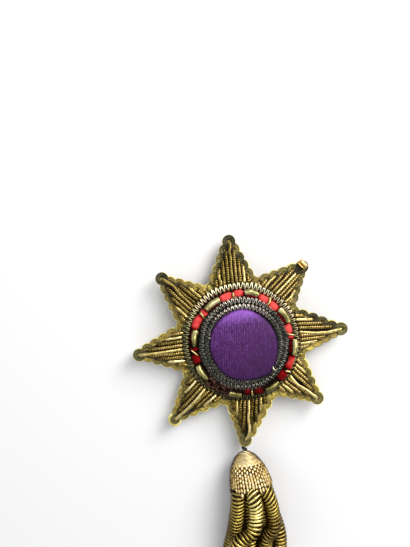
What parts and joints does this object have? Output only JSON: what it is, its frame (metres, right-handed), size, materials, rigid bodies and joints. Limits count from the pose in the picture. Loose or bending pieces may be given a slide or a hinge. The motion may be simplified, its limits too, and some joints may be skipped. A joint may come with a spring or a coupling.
{
  "type": "embroidered star badge with tassel",
  "caption": "Eight-pointed star badge in bullion embroidery, with a domed silk button in coiled wire rings, spangled edges, and a fat bullion tassel hung from its lowest point.",
  "frame": {"origin": "middle of the star's flat back face, under the centre of its rings", "axes": "+Z out of the worked face, +Y up the badge away from the tassel, +X to the right"},
  "size_m": [0.081, 0.1575, 0.0172],
  "materials": {
    "ground_cloth": "stiffened gold-coloured cloth, matt",
    "spangle": "tarnished gilt, dull",
    "gold_purl": "coiled gilt wire, antique",
    "pale_wire": "pale coiled wire, bright",
    "dark_wire": "tarnished silver wire",
    "red_silk": "silk, soft sheen",
    "purple_silk": "silk, soft sheen",
    "gilt_bar": "smooth pale gilt purl",
    "gilt": "bright gilt",
    "dark_thread": "waxed thread",
    "tassel_net": "gilt wire net",
    "tassel_bullion": "coiled gilt bullion"
  },
  "bodies": {
    "root": {"star_ground": "ground_cloth", "spangle_edging": "spangle", "outer_coil": "pale_wire", "red_roll": "red_silk", "middle_coil": "dark_wire", "inner_coil": "dark_wire", "button": "purple_silk", "tip_fold": "gilt", "hanger_thread": "dark_thread", "tassel_cap": "tassel_net", "tassel_skirt": "tassel_bullion", "rays_east": "gold_purl", "rays_north_east": "gold_purl", "rays_north": "gold_purl", "rays_north_west": "gold_purl", "rays_west": "gold_purl", "rays_south_west": "gold_purl", "rays_south": "gold_purl", "rays_south_east": "gold_purl", "bar_1": "gilt_bar", "bar_2": "gilt_bar", "bar_3": "gilt_bar", "bar_4": "gilt_bar", "bar_5": "gilt_bar", "bar_6": "gilt_bar", "bar_7": "gilt_bar", "bar_8": "gilt_bar", "tie_1": "gilt_bar", "tie_2": "gilt_bar", "tie_3": "gilt_bar", "tie_4": "gilt_bar", "tie_5": "gilt_bar", "tie_6": "gilt_bar", "tie_7": "gilt_bar"}
  },
  "joints": []
}
